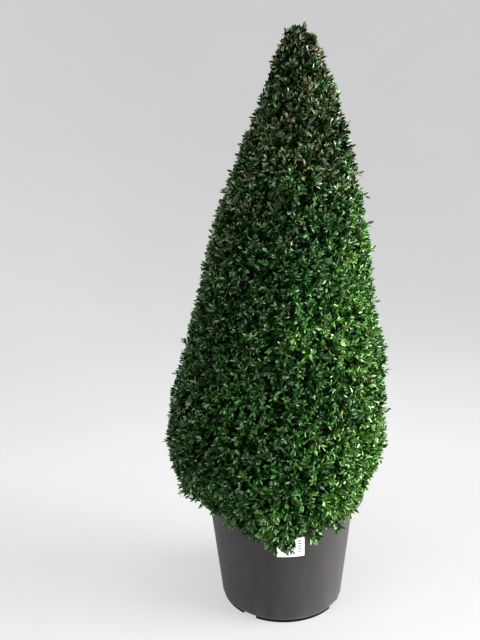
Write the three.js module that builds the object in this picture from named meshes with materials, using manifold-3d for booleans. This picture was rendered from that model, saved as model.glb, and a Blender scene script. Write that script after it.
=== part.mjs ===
// Boxwood clipped to a cone, growing in a round nursery pot.
// Millimetres, +Z up. The origin is the middle of the pot's flat underside, -Y is the front.
//
// The crown is one dense, clipped mass of leafy shoots round a core. It stands on a short stem with
// a root flare, which forks into boughs inside the hollow under the crown.

import * as THREE from "three";
import { mergeVertices } from "three/addons/utils/BufferGeometryUtils.js";
import Module from "manifold-3d";

const wasm = await Module();
wasm.setup();

// ---------------------------------------------------------------- driving dimensions

const GAP = 0.3; // between neighbours that touch
const SHORTEST_EDGE = 0.03; // slivers of the joined crown under this size are smoothed away

const POT = {
  height: 226,
  footRadius: 119.5, // flat underside
  footHeight: 6,
  heelRadius: 122.2, // where the rounded heel meets the wall
  heelHeight: 9,
  heelInset: 0.5, // step in from the heel to the foot
  heelSteps: 3,
  topRadius: 144.8, // outside of the wall, just under the rim
  wallTopZ: 206,
  wall: 2.6,
  floor: 9,
  shoulder: 3, // the wall flares out this much on its way to the rim
  rimRadius: 165,
  rimDrop: 10, // how far the lip turns down
  rimBevel: 2.5,
  sides: 48,
};
// Notches that cut the foot into segments.
const DRAIN_SLOTS = { count: 4, firstDeg: -35, widthDeg: 14, depth: 9, height: 5.6 };
const DRAIN_HOLES = { count: 6, radius: 7, circle: 74, sides: 12 };

const LABEL = { width: 51, height: 40.5, thickness: 0.8, bottomZ: 148.5, azimuthDeg: 3.5, columns: 8 };

// Potting mix: level round the stem, lower at the wall, and cloddy between.
const SOIL = {
  groundZ: 200,
  edgeZ: 190,
  flatRadius: 44,
  clods: 2.2,
  facetGap: 0.7,
  sides: 36,
  rings: 5,
  seed: 11,
};

const PLANT = { footX: -16.7, lean: 0.0585 }; // the stem stands off centre, and leans to +X

const TRUNK = {
  radius: 15.5,
  height: 44, // up to the fork
  flare: 0.75, // extra width at the ground, as a share
  flareHeight: 13,
  buttress: 0.3,
  buttresses: 5,
  forkSwell: 5.5,
};

const BOUGHS = {
  around: 4,
  firstDeg: 35,
  ring: 14, // they leave the fork at this radius
  radius: 6,
  tip: 3.6,
  bendHeight: 36, // upright as far as this over the fork
  reach: 112,
  rise: 150,
  uneven: 12,
  entry: 0.25, // share of their length at which they enter the crown
  leaderRadius: 7.4,
  leaderTip: 2.4,
  leaderTopZ: 1040,
  leaderEntry: 0.045,
};

const CROWN = {
  topZ: 1098,
  widestZ: 340,
  radius: 213, // at widestZ, out to the leaf tips
  fullness: 1.5, // shape of the cone above widestZ
  roundness: 0.82,
  skirtZ: 238, // lowest shoots; their leaves hang lower
  skirtRadius: 178,
  skirtShape: 1.7, // how roundly the skirt draws in below widestZ
  lump: 5,
  seed: 89,
};
// Places round the skirt that hang lower or are clipped higher than the rest.
const SKIRT_LOBES = [
  { azimuthDeg: 3, spreadDeg: 10, rise: -12, out: 3 },
  { azimuthDeg: 16, spreadDeg: 34, rise: -23, out: 16 },
  { azimuthDeg: 80, spreadDeg: 24, rise: 12, out: -4 },
  { azimuthDeg: 185, spreadDeg: 50, rise: -5, out: 10 },
  { azimuthDeg: 303, spreadDeg: 34, rise: 31, out: 0 },
];
// Places where the face stands proud or was clipped deeper, all equally wide and tall.
const FACE_LOBES = {
  spreadDeg: 55,
  spreadZ: 75,
  places: [
    { azimuthDeg: 90, z: 400, out: -5 },
    { azimuthDeg: 90, z: 640, out: -9 },
    { azimuthDeg: 90, z: 880, out: 12 },
    { azimuthDeg: 90, z: 990, out: 12 },
    { azimuthDeg: 270, z: 400, out: 3 },
    { azimuthDeg: 270, z: 520, out: -12 },
    { azimuthDeg: 270, z: 640, out: -11 },
    { azimuthDeg: 270, z: 880, out: -9 },
    { azimuthDeg: 270, z: 990, out: -5 },
  ],
};

const CORE = {
  depth: 36, // how far inside the leaf tips it stands
  topZ: 1050,
  topDepth: 20,
  sides: 20,
  rings: 14,
  hollowZ: 300, // top of the hollow over the fork
  hollowRadius: 126,
  hollowShape: 2.4,
  lipZ: 234,
  clearance: 3, // over the pot's rim
};

const SHOOT = {
  count: 100,
  skirtCrowding: 0.9, // extra shoots for the skirt's area, as a share
  length: 42,
  radius: 2.6,
  stand: 18, // how far a shoot's tip stands inside its leaves' tips
  rise: 0.42, // how steeply the shoots climb, against how far they stand out
  hang: 0.85, // how much less the lowest ones climb
  waver: 0.24,
  topReach: 230, // shoots this near the top turn upright, with smaller leaves that close up
  clear: 1.2, // from limbs and pot
};
const LEAF = {
  length: 52,
  width: 29,
  thickness: 1.5,
  cup: 3, // how far its middle stands over its edge
  widestAt: 0.56,
  offset: 0.5, // of its root from the middle of the shoot
  topFold: 0.45, // how far the leaves at the top close, and shrink, as shares
  topShrink: 0.3,
};
const LEAF_PAIRS = [
  { below: 17, openDeg: 76, scale: 1 },
  { below: 4, openDeg: 52, scale: 0.86 },
];

const COLOURS = {
  pot: { color: 0x4b4a49, roughness: 0.5 },
  label: { color: 0xf2f1ee, roughness: 0.6 },
  soil: { color: 0x2c211a, roughness: 1 },
  bark: { color: 0x7d7259, roughness: 0.9 },
  leaf: { color: 0x1f4a1c, roughness: 0.45 },
};

// ---------------------------------------------------------------- helpers

const UP = new THREE.Vector3(0, 0, 1);
const AHEAD = new THREE.Vector3(0, 1, 0);
const GOLDEN_ANGLE = Math.PI * (3 - Math.sqrt(5));
const rad = THREE.MathUtils.degToRad;

function seeded(seed) {
  let state = seed >>> 0;
  return () => {
    state = (state + 0x6d2b79f5) >>> 0;
    let t = Math.imul(state ^ (state >>> 15), 1 | state);
    t = (t + Math.imul(t ^ (t >>> 7), 61 | t)) ^ t;
    return ((t ^ (t >>> 14)) >>> 0) / 4294967296;
  };
}

// Azimuth 0 is the front, -Y, and 90 degrees is +X.
function polar(radius, azimuth, z) {
  return new THREE.Vector3(radius * Math.sin(azimuth), -radius * Math.cos(azimuth), z);
}

function solidFrom(geometry) {
  const bare = geometry.index ? geometry.toNonIndexed() : geometry.clone();
  for (const name of Object.keys(bare.attributes)) {
    if (name !== "position") bare.deleteAttribute(name);
  }
  const merged = mergeVertices(bare, 1e-4);
  const index = merged.index.array;
  const kept = [];
  for (let i = 0; i < index.length; i += 3) {
    const [a, b, c] = [index[i], index[i + 1], index[i + 2]];
    if (a !== b && b !== c && c !== a) kept.push(a, b, c);
  }
  const mesh = new wasm.Mesh({
    numProp: 3,
    vertProperties: merged.attributes.position.array,
    triVerts: new Uint32Array(kept),
  });
  return new wasm.Manifold(mesh);
}

function geometryFrom(solid) {
  const mesh = solid.getMesh();
  const positions = new Float32Array(mesh.numVert * 3);
  for (let i = 0; i < mesh.numVert; i++) {
    positions.set(mesh.vertProperties.subarray(i * mesh.numProp, i * mesh.numProp + 3), i * 3);
  }
  const geometry = new THREE.BufferGeometry();
  geometry.setAttribute("position", new THREE.BufferAttribute(positions, 3));
  geometry.setIndex(new THREE.BufferAttribute(new Uint32Array(mesh.triVerts), 1));
  geometry.computeVertexNormals();
  return geometry;
}

// The outer skin of the largest body: loose scraps and sealed hollows go.
function wholeBody(solid) {
  const bodies = solid.decompose();
  return bodies.reduce((best, body) => (body.volume() > best.volume() ? body : best));
}

// A lathe about +Z. The profile runs from the axis at the bottom, round the outside, back to the axis.
function turned(profile, sides) {
  const points = profile.map(([radius, z]) => new THREE.Vector2(radius, z));
  return new THREE.LatheGeometry(points, sides).rotateX(Math.PI / 2);
}

function moveVertices(geometry, move) {
  const position = geometry.attributes.position;
  const point = new THREE.Vector3();
  for (let i = 0; i < position.count; i++) {
    point.fromBufferAttribute(position, i);
    move(point);
    position.setXYZ(i, point.x, point.y, point.z);
  }
  return geometry;
}

// A round limb along a stretch of a curve. radiusAt gets the share of the stretch, and the angle round
// it, which is counted from the reference direction.
function limb(curve, { from = 0, to = 1, radiusAt, sides, steps, reference = AHEAD }) {
  return moveVertices(new THREE.CylinderGeometry(1, 1, 1, sides, steps), (point) => {
    const share = Math.round((point.y + 0.5) * steps) / steps;
    const radius = radiusAt(share, Math.atan2(point.z, point.x));
    const [x, y] = [point.x * radius, point.z * radius];
    const tangent = curve.getTangentAt(THREE.MathUtils.lerp(from, to, share));
    const across = reference.clone().cross(tangent).normalize();
    point.copy(curve.getPointAt(THREE.MathUtils.lerp(from, to, share)));
    point.addScaledVector(across, x).addScaledVector(across.cross(tangent), y);
  });
}

function leaning(geometry) {
  return moveVertices(geometry, (point) => {
    point.x += PLANT.footX + PLANT.lean * (point.z - SOIL.groundZ);
  });
}

function named(name, geometry, look) {
  const material = new THREE.MeshStandardMaterial({ ...look, metalness: 0, flatShading: true });
  const mesh = new THREE.Mesh(geometry, material);
  mesh.name = name;
  return mesh;
}

// ---------------------------------------------------------------- pot and what fills it

function wallRadius(z) {
  const share = (z - POT.heelHeight) / (POT.wallTopZ - POT.heelHeight);
  return THREE.MathUtils.lerp(POT.heelRadius, POT.topRadius, share);
}

function potProfile() {
  const profile = [
    [0, 0],
    [POT.footRadius, 0],
    [POT.footRadius, POT.footHeight],
  ];
  const heelFoot = POT.footRadius + POT.heelInset;
  for (let i = 0; i <= POT.heelSteps; i++) {
    const turn = ((i / POT.heelSteps) * Math.PI) / 2;
    const radius = heelFoot + (POT.heelRadius - heelFoot) * Math.sin(turn);
    profile.push([radius, POT.heelHeight - (POT.heelHeight - POT.footHeight) * Math.cos(turn)]);
  }
  const lipZ = POT.height - POT.rimDrop;
  const innerHeelZ = POT.heelHeight + POT.floor;
  profile.push(
    // up the wall, and out under the rim
    [POT.topRadius, POT.wallTopZ],
    [POT.topRadius + POT.shoulder, lipZ],
    [POT.rimRadius - 2 * POT.wall, POT.height - 2 * POT.wall],
    // round the turned-down lip, and back over the top
    [POT.rimRadius - POT.wall, lipZ],
    [POT.rimRadius, lipZ],
    [POT.rimRadius, POT.height - POT.rimBevel],
    [POT.rimRadius - POT.rimBevel, POT.height],
    [POT.topRadius + POT.shoulder, POT.height],
    [POT.topRadius, POT.height - POT.rimBevel],
    // down the inside to the floor
    [POT.topRadius - POT.wall, POT.wallTopZ],
    [wallRadius(innerHeelZ) - POT.wall, innerHeelZ],
    [POT.footRadius, POT.floor],
    [0, POT.floor],
  );
  return profile;
}

function drainSlot(i) {
  const halfWidth = rad(DRAIN_SLOTS.widthDeg / 2) * POT.footRadius;
  const [inner, outer] = [POT.footRadius - DRAIN_SLOTS.depth, POT.footRadius + 1.5 * POT.heelInset];
  const outline = new THREE.Shape();
  outline.moveTo(inner, -halfWidth);
  outline.lineTo(outer, -halfWidth);
  outline.lineTo(outer, halfWidth);
  outline.lineTo(inner, halfWidth);
  const slot = new THREE.ExtrudeGeometry(outline, { depth: 2 * DRAIN_SLOTS.height, bevelEnabled: false });
  const turn = rad(DRAIN_SLOTS.firstDeg - 90) + (i * 2 * Math.PI) / DRAIN_SLOTS.count;
  return slot.translate(0, 0, -DRAIN_SLOTS.height).rotateZ(turn);
}

function drainHole(i) {
  const { radius, circle, sides, count } = DRAIN_HOLES;
  const centre = polar(circle, (i * 2 * Math.PI) / count, POT.floor / 2);
  const hole = new THREE.CylinderGeometry(radius, radius, 2 * POT.floor, sides).rotateX(Math.PI / 2);
  return hole.translate(centre.x, centre.y, centre.z);
}

function makePot() {
  let pot = solidFrom(turned(potProfile(), POT.sides));
  for (let i = 0; i < DRAIN_SLOTS.count; i++) pot = pot.subtract(solidFrom(drainSlot(i)));
  for (let i = 0; i < DRAIN_HOLES.count; i++) pot = pot.subtract(solidFrom(drainHole(i)));
  return geometryFrom(wholeBody(pot));
}

// A sticker wrapped round the wall, GAP clear of its facets.
function makeLabel() {
  const flat = new THREE.BoxGeometry(LABEL.width, LABEL.thickness, LABEL.height, LABEL.columns);
  return moveVertices(flat, (point) => {
    const z = LABEL.bottomZ + LABEL.height / 2 + point.z;
    const radius = wallRadius(z) + GAP + LABEL.thickness / 2 - point.y;
    const azimuth = rad(LABEL.azimuthDeg) + point.x / wallRadius(LABEL.bottomZ);
    point.copy(polar(radius, azimuth, z));
  });
}

function makeSoil() {
  const random = seeded(SOIL.seed);
  const inside = (z) => wallRadius(z) - POT.wall - GAP - SOIL.facetGap;
  const heelZ = POT.heelHeight + POT.floor + 2;
  const profile = [
    [0, POT.floor + GAP],
    [POT.footRadius - 3, POT.floor + GAP],
    [inside(heelZ), heelZ],
    [inside(SOIL.edgeZ), SOIL.edgeZ],
  ];
  const edge = profile.at(-1)[0];
  for (let i = 1; i <= SOIL.rings; i++) {
    const share = i / SOIL.rings;
    const radius = THREE.MathUtils.lerp(edge, SOIL.flatRadius, share);
    profile.push([radius, THREE.MathUtils.lerp(SOIL.edgeZ, SOIL.groundZ - GAP, share ** 0.6)]);
  }
  profile.push([0, SOIL.groundZ - GAP]);
  const phases = [random(), random(), random()].map((share) => share * 2 * Math.PI);
  return moveVertices(turned(profile, SOIL.sides), (point) => {
    const radius = Math.hypot(point.x, point.y);
    if (point.z < SOIL.edgeZ - 1 || radius < SOIL.flatRadius + 1 || radius > edge - 1) return;
    const azimuth = Math.atan2(point.y, point.x);
    const clods = Math.sin(7 * azimuth + phases[0] + radius / 9) + Math.sin(11 * azimuth + phases[1]);
    point.z += (SOIL.clods * (clods + Math.sin(radius / 5 + phases[2]))) / 3;
  });
}

// ---------------------------------------------------------------- stem and boughs

const forkZ = SOIL.groundZ + TRUNK.height;

function makeTrunk() {
  const curve = new THREE.LineCurve3(polar(0, 0, SOIL.groundZ), polar(0, 0, forkZ));
  const radiusAt = (along, angle) => {
    const height = along * TRUNK.height;
    const flare = TRUNK.flare * Math.exp(-height / TRUNK.flareHeight);
    const buttress = 1 + TRUNK.buttress * Math.cos(TRUNK.buttresses * angle);
    const fork = TRUNK.forkSwell * THREE.MathUtils.smoothstep(along, 0.4, 1);
    return TRUNK.radius * (1 + flare * buttress) + fork;
  };
  return limb(curve, { radiusAt, sides: 20, steps: 7 });
}

// Where the underside of the crown's core stands, at a radius.
function hollowZ(radius) {
  const share = Math.min(1, radius / CORE.hollowRadius);
  return THREE.MathUtils.lerp(CORE.hollowZ, CORE.lipZ, share ** CORE.hollowShape);
}

const boughAzimuth = (i) => rad(BOUGHS.firstDeg) + ((i - 1) * 2 * Math.PI) / BOUGHS.around;

// Each bough leaves the fork upright, bends outwards, and runs on into the crown. Number 0 is the
// leader, which goes straight up.
function boughCurve(i) {
  if (i === 0) return new THREE.LineCurve3(polar(0, 0, forkZ + GAP), polar(0, 0, BOUGHS.leaderTopZ));
  const azimuth = boughAzimuth(i);
  const start = polar(BOUGHS.ring, azimuth, forkZ + GAP);
  const bend = polar(BOUGHS.ring, azimuth, forkZ + BOUGHS.bendHeight);
  const end = polar(BOUGHS.reach, azimuth, forkZ + BOUGHS.rise + BOUGHS.uneven * (i % 3));
  return new THREE.QuadraticBezierCurve3(start, bend, end);
}

const boughEntry = (i) => (i === 0 ? BOUGHS.leaderEntry : BOUGHS.entry);

function boughRadius(i, share) {
  const [base, tip] = i === 0 ? [BOUGHS.leaderRadius, BOUGHS.leaderTip] : [BOUGHS.radius, BOUGHS.tip];
  return THREE.MathUtils.lerp(base, tip, share);
}

function boughStretch(i, from, to, sides) {
  return limb(boughCurve(i), {
    from,
    to,
    radiusAt: (along) => boughRadius(i, THREE.MathUtils.lerp(from, to, along)),
    sides,
    steps: i === 0 ? 2 : 5,
    reference: i === 0 ? AHEAD : polar(1, boughAzimuth(i) + Math.PI / 2, 0),
  });
}

const makeBough = (i) => boughStretch(i, 0, boughEntry(i), 12);

// The same bough from where it enters the crown, GAP further on.
function boughInCrown(i) {
  const from = boughEntry(i) + GAP / boughCurve(i).getLength();
  return boughStretch(i, from, 1, 8);
}

// ---------------------------------------------------------------- crown

// Slow waves over the clipped face, so that it isn't a perfect cone.
function lumps(azimuth, z) {
  const waves =
    Math.sin(2 * azimuth + z / 118) +
    Math.sin(3 * azimuth - z / 71 + 1.3) +
    0.7 * Math.sin(5 * azimuth + z / 47 + 4.1);
  return (CROWN.lump * waves) / 2;
}

// How far the face stands out (or, below 0, was clipped in) at a place.
function faceShift(azimuth, z) {
  return FACE_LOBES.places.reduce((shift, lobe) => {
    const turn = azimuth - rad(lobe.azimuthDeg);
    const away = Math.atan2(Math.sin(turn), Math.cos(turn)) / rad(FACE_LOBES.spreadDeg);
    return shift + lobe.out * Math.exp(-(away ** 2) - ((z - lobe.z) / FACE_LOBES.spreadZ) ** 2);
  }, 0);
}

// Radius out to the leaf tips, at a height.
function crownRadius(z) {
  if (z >= CROWN.widestZ) {
    const up = Math.min(1, (z - CROWN.widestZ) / (CROWN.topZ - CROWN.widestZ));
    return CROWN.radius * (1 - up ** CROWN.fullness) ** CROWN.roundness;
  }
  const down = (CROWN.widestZ - z) / (CROWN.widestZ - CROWN.skirtZ);
  return THREE.MathUtils.lerp(CROWN.radius, CROWN.skirtRadius, Math.min(1, down) ** CROWN.skirtShape);
}

// How far a place on the skirt is moved by the lobes: upwards (rise) or outwards (out).
function skirtShift(which, azimuth, z) {
  const share = 1 - THREE.MathUtils.smoothstep(z, CROWN.skirtZ, CROWN.widestZ);
  return SKIRT_LOBES.reduce((shift, lobe) => {
    const turn = azimuth - rad(lobe.azimuthDeg);
    const away = Math.atan2(Math.sin(turn), Math.cos(turn)) / rad(lobe.spreadDeg);
    return shift + share * lobe[which] * Math.exp(-(away ** 2));
  }, 0);
}

// A point of the crown's clipped face, or that far inside it.
function crownPoint(azimuth, z, depth = 0) {
  const shift = lumps(azimuth, z) + faceShift(azimuth, z) + skirtShift("out", azimuth, z);
  const radius = crownRadius(z) + shift - depth;
  return polar(Math.max(0, radius), azimuth, z + skirtShift("rise", azimuth, z));
}

function makeCore() {
  const profile = [[0, CORE.hollowZ]];
  for (let i = 1; i <= 3; i++) {
    const radius = (CORE.hollowRadius * i) / 3;
    profile.push([radius, hollowZ(radius)]);
  }
  for (let i = 0; i < CORE.rings; i++) {
    const z = THREE.MathUtils.lerp(POT.height + CORE.clearance, CORE.topZ, i / CORE.rings);
    profile.push([CROWN.radius, z]);
  }
  profile.push([0, CORE.topZ]);
  return moveVertices(turned(profile, CORE.sides), (point) => {
    if (Math.hypot(point.x, point.y) < CROWN.radius - 1) return;
    const nearTop = THREE.MathUtils.smoothstep(point.z, CORE.topZ - 200, CORE.topZ);
    const depth = THREE.MathUtils.lerp(CORE.depth, CORE.topDepth, nearTop);
    point.copy(crownPoint(Math.atan2(point.x, -point.y), point.z, depth));
    point.z = Math.max(point.z, POT.height + CORE.clearance);
  });
}

// A leaf is a flattened double pyramid on a kite: its root at the origin, its tip along +X, its upper
// face to +Z, and cupped, so that its middle stands higher than its edge.
function leafGeometry(length) {
  const halfWidth = (LEAF.width * length) / LEAF.length / 2;
  return moveVertices(new THREE.OctahedronGeometry(1), (point) => {
    const middle = Math.abs(point.z) > 0.5;
    const across = Math.abs(point.y) > 0.5;
    const along = middle || across ? LEAF.widestAt : (point.x + 1) / 2;
    point.z = middle ? LEAF.cup + (Math.sign(point.z) * LEAF.thickness) / 2 : 0;
    point.x = along * length;
    point.y *= halfWidth;
  });
}

function placed(geometry, root, direction, face) {
  const across = new THREE.Vector3().crossVectors(face, direction).normalize();
  const upper = new THREE.Vector3().crossVectors(direction, across);
  const matrix = new THREE.Matrix4().makeBasis(direction, across, upper).setPosition(root);
  return geometry.applyMatrix4(matrix);
}

// Targets spread evenly over the clipped face: equal areas, turned by the golden angle.
function shootTargets() {
  const slices = 400;
  const low = CROWN.skirtZ;
  const high = CROWN.topZ - 10;
  const areas = [0];
  for (let i = 0; i < slices; i++) {
    const [z, next] = [low + ((high - low) * i) / slices, low + ((high - low) * (i + 1)) / slices];
    const slope = Math.hypot(next - z, crownRadius(next) - crownRadius(z));
    const crowding = 1 + SHOOT.skirtCrowding * (1 - THREE.MathUtils.smoothstep(z, low, CROWN.widestZ));
    areas.push(areas[i] + crownRadius(z) * slope * crowding);
  }
  const targets = [];
  let slice = 0;
  for (let i = 0; i < SHOOT.count; i++) {
    const wanted = (areas[slices] * (i + 0.5)) / SHOOT.count;
    while (areas[slice + 1] < wanted) slice++;
    const share = (wanted - areas[slice]) / (areas[slice + 1] - areas[slice]);
    targets.push({ z: low + ((high - low) * (slice + share)) / slices, azimuth: i * GOLDEN_ANGLE });
  }
  targets.push({ z: high, azimuth: 0 });
  return targets;
}

// What the foliage has to keep clear of, a little fattened, in the plant's own upright frame.
function keepOutSolids() {
  const clear = SHOOT.clear;
  const outline = [
    [0, 0],
    [POT.heelRadius + clear, 0],
    [POT.topRadius + clear, POT.wallTopZ],
    [POT.rimRadius + clear, POT.height - POT.rimDrop - clear],
    [POT.rimRadius + clear, POT.height + clear],
    [0, POT.height + clear],
  ];
  const pot = moveVertices(turned(outline, POT.sides), (point) => {
    point.x -= PLANT.footX + PLANT.lean * (point.z - SOIL.groundZ);
  });
  const boughs = Array.from({ length: BOUGHS.around + 1 }, (_, i) => makeBough(i));
  return wasm.Manifold.union([pot, makeTrunk(), ...boughs].map(solidFrom));
}

// Which way a shoot grows: out and up from the core, hanging on the skirt, upright at the tip.
function shootDirection(azimuth, z, waver) {
  const hang = SHOOT.hang * (1 - THREE.MathUtils.smoothstep(z, CROWN.skirtZ, CROWN.widestZ - 20));
  const upright = THREE.MathUtils.smoothstep(z, CROWN.topZ - SHOOT.topReach, CROWN.topZ);
  const direction = polar(1 - upright, azimuth + waver, SHOOT.rise - hang + upright);
  return direction.addScaledVector(UP, (1 - upright) * waver).normalize();
}

function makeCrown() {
  const random = seeded(CROWN.seed);
  const spread = (size) => (random() * 2 - 1) * size;
  const keepOut = keepOutSolids();
  const pieces = [makeCore()];
  for (let i = 0; i <= BOUGHS.around; i++) pieces.push(boughInCrown(i));
  const solids = pieces.map(solidFrom);
  const addClear = (geometry) => {
    const solid = solidFrom(geometry);
    const clear = solid.intersect(keepOut).isEmpty();
    if (clear) solids.push(solid);
    return clear;
  };

  for (const { z, azimuth } of shootTargets()) {
    const direction = shootDirection(azimuth, z, spread(SHOOT.waver));
    const tip = crownPoint(azimuth, z).addScaledVector(direction, -SHOOT.stand);
    const root = tip.clone().addScaledVector(direction, -SHOOT.length);
    const side = UP.clone().cross(direction).normalize();
    const twig = limb(new THREE.LineCurve3(root, tip), {
      radiusAt: (along) => SHOOT.radius * (1 - 0.4 * along),
      sides: 3,
      steps: 1,
      reference: side.clone(),
    });
    if (!addClear(twig)) continue;

    // Opposite pairs of leaves, each pair a quarter turn from the one below.
    side.applyAxisAngle(direction, z < CROWN.widestZ ? spread(0.3) : spread(Math.PI / 2));
    const slim = THREE.MathUtils.smoothstep(z, CROWN.topZ - SHOOT.topReach, CROWN.topZ);
    LEAF_PAIRS.forEach(({ below, openDeg, scale }, pair) => {
      for (const turn of [0, Math.PI]) {
        const out = side.clone().applyAxisAngle(direction, turn + (pair * Math.PI) / 2 + spread(0.2));
        const open = rad(openDeg) * (1 - LEAF.topFold * slim) + spread(0.15);
        const length = LEAF.length * (scale - LEAF.topShrink * slim + spread(0.08));
        const axis = direction.clone().cross(out).normalize();
        const along = direction.clone().applyAxisAngle(axis, open);
        const face = direction.clone().applyAxisAngle(axis, open - Math.PI / 2);
        const from = tip.clone().addScaledVector(direction, -below).addScaledVector(out, LEAF.offset);
        addClear(placed(leafGeometry(length), from, along, face));
      }
    });
  }
  return geometryFrom(wholeBody(wasm.Manifold.union(solids)).simplify(SHORTEST_EDGE));
}

// ---------------------------------------------------------------- assembly

const topiary = new THREE.Group();
topiary.name = "boxwood_cone_topiary";
topiary.add(named("pot", makePot(), COLOURS.pot));
topiary.add(named("pot_label", makeLabel(), COLOURS.label));
topiary.add(named("potting_mix", makeSoil(), COLOURS.soil));
topiary.add(named("trunk", leaning(makeTrunk()), COLOURS.bark));
topiary.add(named("bough_leader", leaning(makeBough(0)), COLOURS.bark));
for (let i = 1; i <= BOUGHS.around; i++) {
  topiary.add(named(`bough_${i}`, leaning(makeBough(i)), COLOURS.bark));
}
topiary.add(named("crown_foliage", leaning(makeCrown()), COLOURS.leaf));

export default topiary;
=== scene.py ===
# Boxwood clipped to a cone, growing in a round nursery pot.
# Metres, Z up, the front is -Y. The origin is the middle of the pot's underside.
import math

import bmesh
import bpy
import numpy as np
from mathutils import Matrix, Vector, noise


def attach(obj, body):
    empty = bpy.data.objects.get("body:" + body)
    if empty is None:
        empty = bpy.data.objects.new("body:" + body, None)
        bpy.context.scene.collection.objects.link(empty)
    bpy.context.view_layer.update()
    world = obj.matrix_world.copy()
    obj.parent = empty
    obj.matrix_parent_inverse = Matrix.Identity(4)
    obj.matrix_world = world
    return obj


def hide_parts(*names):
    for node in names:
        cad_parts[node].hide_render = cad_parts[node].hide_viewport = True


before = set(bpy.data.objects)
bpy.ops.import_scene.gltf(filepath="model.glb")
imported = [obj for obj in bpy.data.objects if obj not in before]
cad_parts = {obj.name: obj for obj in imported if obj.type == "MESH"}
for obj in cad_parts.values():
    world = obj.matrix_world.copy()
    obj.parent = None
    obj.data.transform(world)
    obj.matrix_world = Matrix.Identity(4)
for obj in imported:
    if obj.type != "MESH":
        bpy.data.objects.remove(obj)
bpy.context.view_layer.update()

print("frame loaded:", len(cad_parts), "nodes")


# ---- ways of working

def letGo():
    if bpy.context.mode != "OBJECT":
        bpy.ops.object.mode_set(mode="OBJECT")
    bpy.ops.object.select_all(action="DESELECT")


def take(piece):
    letGo()
    piece.select_set(True)
    bpy.context.view_layer.objects.active = piece
    return piece


def newest(name):
    piece = bpy.context.object
    piece.name = piece.data.name = name
    return piece


def settle(piece):  # its place and turn go into its mesh
    take(piece)
    bpy.ops.object.transform_apply(location=True, rotation=True, scale=True)
    return piece


def finishWith(piece, kind, **values):
    take(piece)
    modifier = piece.modifiers.new(kind.lower(), kind)
    for name, value in values.items():
        setattr(modifier, name, value)
    bpy.ops.object.modifier_apply(modifier=modifier.name)
    return piece


def joinAll(name, pieces):
    letGo()
    for piece in pieces:
        piece.select_set(True)
    bpy.context.view_layer.objects.active = pieces[0]
    bpy.ops.object.join()
    return newest(name)


def pickVertices(piece, wanted):
    # in edit mode, selects the vertices whose place passes the test
    take(piece)
    bpy.ops.object.mode_set(mode="EDIT")
    bpy.ops.mesh.select_mode(type="VERT")
    bpy.ops.mesh.select_all(action="DESELECT")
    mesh = bmesh.from_edit_mesh(piece.data)
    for vertex in mesh.verts:
        if wanted(vertex.co):
            vertex.select_set(True)
    mesh.select_flush(True)
    bmesh.update_edit_mesh(piece.data)


def lathe(name, profile, sides):
    # a point is drawn out along the profile, which is then spun round the upright axis
    letGo()
    bpy.ops.mesh.primitive_plane_add(size=0.01)
    piece = newest(name)
    bpy.ops.object.mode_set(mode="EDIT")
    bpy.ops.mesh.select_mode(type="VERT")
    bpy.ops.mesh.select_all(action="SELECT")
    bpy.ops.mesh.merge(type="CENTER")
    at = Vector((0, 0, 0))
    for number, (radius, height) in enumerate(profile):
        step = Vector((radius, 0, height)) - at
        if number:
            bpy.ops.mesh.extrude_region_move(TRANSFORM_OT_translate={"value": step})
        else:
            bpy.ops.transform.translate(value=step)
        at += step
    bpy.ops.mesh.select_all(action="SELECT")
    bpy.ops.mesh.spin(steps=sides, angle=2 * math.pi, center=(0, 0, 0), axis=(0, 0, 1))
    bpy.ops.mesh.select_all(action="SELECT")
    bpy.ops.mesh.remove_doubles(threshold=2e-5)
    bpy.ops.mesh.normals_make_consistent(inside=False)
    letGo()
    return piece


def moveEach(piece, shift):
    # sculpts the mesh: shift gets a vertex's place and normal, and gives how far it moves
    mesh = piece.data
    moves = [shift(vertex.co, vertex.normal) for vertex in mesh.vertices]
    for vertex, move in zip(mesh.vertices, moves):
        vertex.co += move
    mesh.update()
    return piece


def newObject(name, data):
    piece = bpy.data.objects.new(name, data)
    bpy.context.scene.collection.objects.link(piece)
    return piece


def cover(piece, made, smoothDeg):
    piece.data.materials.clear()
    piece.data.materials.append(made)
    take(piece)
    bpy.ops.object.shade_smooth_by_angle(angle=math.radians(smoothDeg))
    return piece


def cornersAndFaces(piece):  # the piece itself is removed
    corners = np.array([vertex.co[:] for vertex in piece.data.vertices])
    faces = [tuple(face.vertices) for face in piece.data.polygons]
    bpy.data.objects.remove(piece)
    return corners, faces


def joinedCopies(name, places, faces, materials=(), shades=None):
    # places is copies x vertices x 3; faces is one copy's faces; shades is each copy's material
    copies, corners = places.shape[:2]
    loops = np.concatenate([np.array(face) for face in faces])
    starts = np.concatenate([[0], np.cumsum([len(face) for face in faces])[:-1]])
    allLoops = (np.arange(copies)[:, None] * corners + loops[None]).ravel()
    allStarts = (np.arange(copies)[:, None] * len(loops) + starts[None]).ravel()
    mesh = bpy.data.meshes.new(name)
    mesh.vertices.add(copies * corners)
    mesh.vertices.foreach_set("co", places.astype(np.float32).ravel())
    mesh.loops.add(len(allLoops))
    mesh.loops.foreach_set("vertex_index", allLoops.astype(np.int32))
    mesh.polygons.add(len(allStarts))
    mesh.polygons.foreach_set("loop_start", allStarts.astype(np.int32))
    for made in materials:
        mesh.materials.append(made)
    if shades is not None:
        mesh.polygons.foreach_set("material_index", np.repeat(shades, len(faces)).astype(np.int32))
    mesh.update(calc_edges=True)
    mesh.shade_smooth()
    return newObject(name, mesh)


def hand(piece, slot, *nodes):
    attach(piece, "root")
    if nodes:
        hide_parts(*nodes)
    print("made", piece.name, len(piece.data.polygons), "faces")


# ---- shader groups that several materials use

def feed(tree, socket, value):
    if isinstance(value, bpy.types.NodeSocket):
        tree.links.new(value, socket)
    else:
        socket.default_value = value


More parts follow.
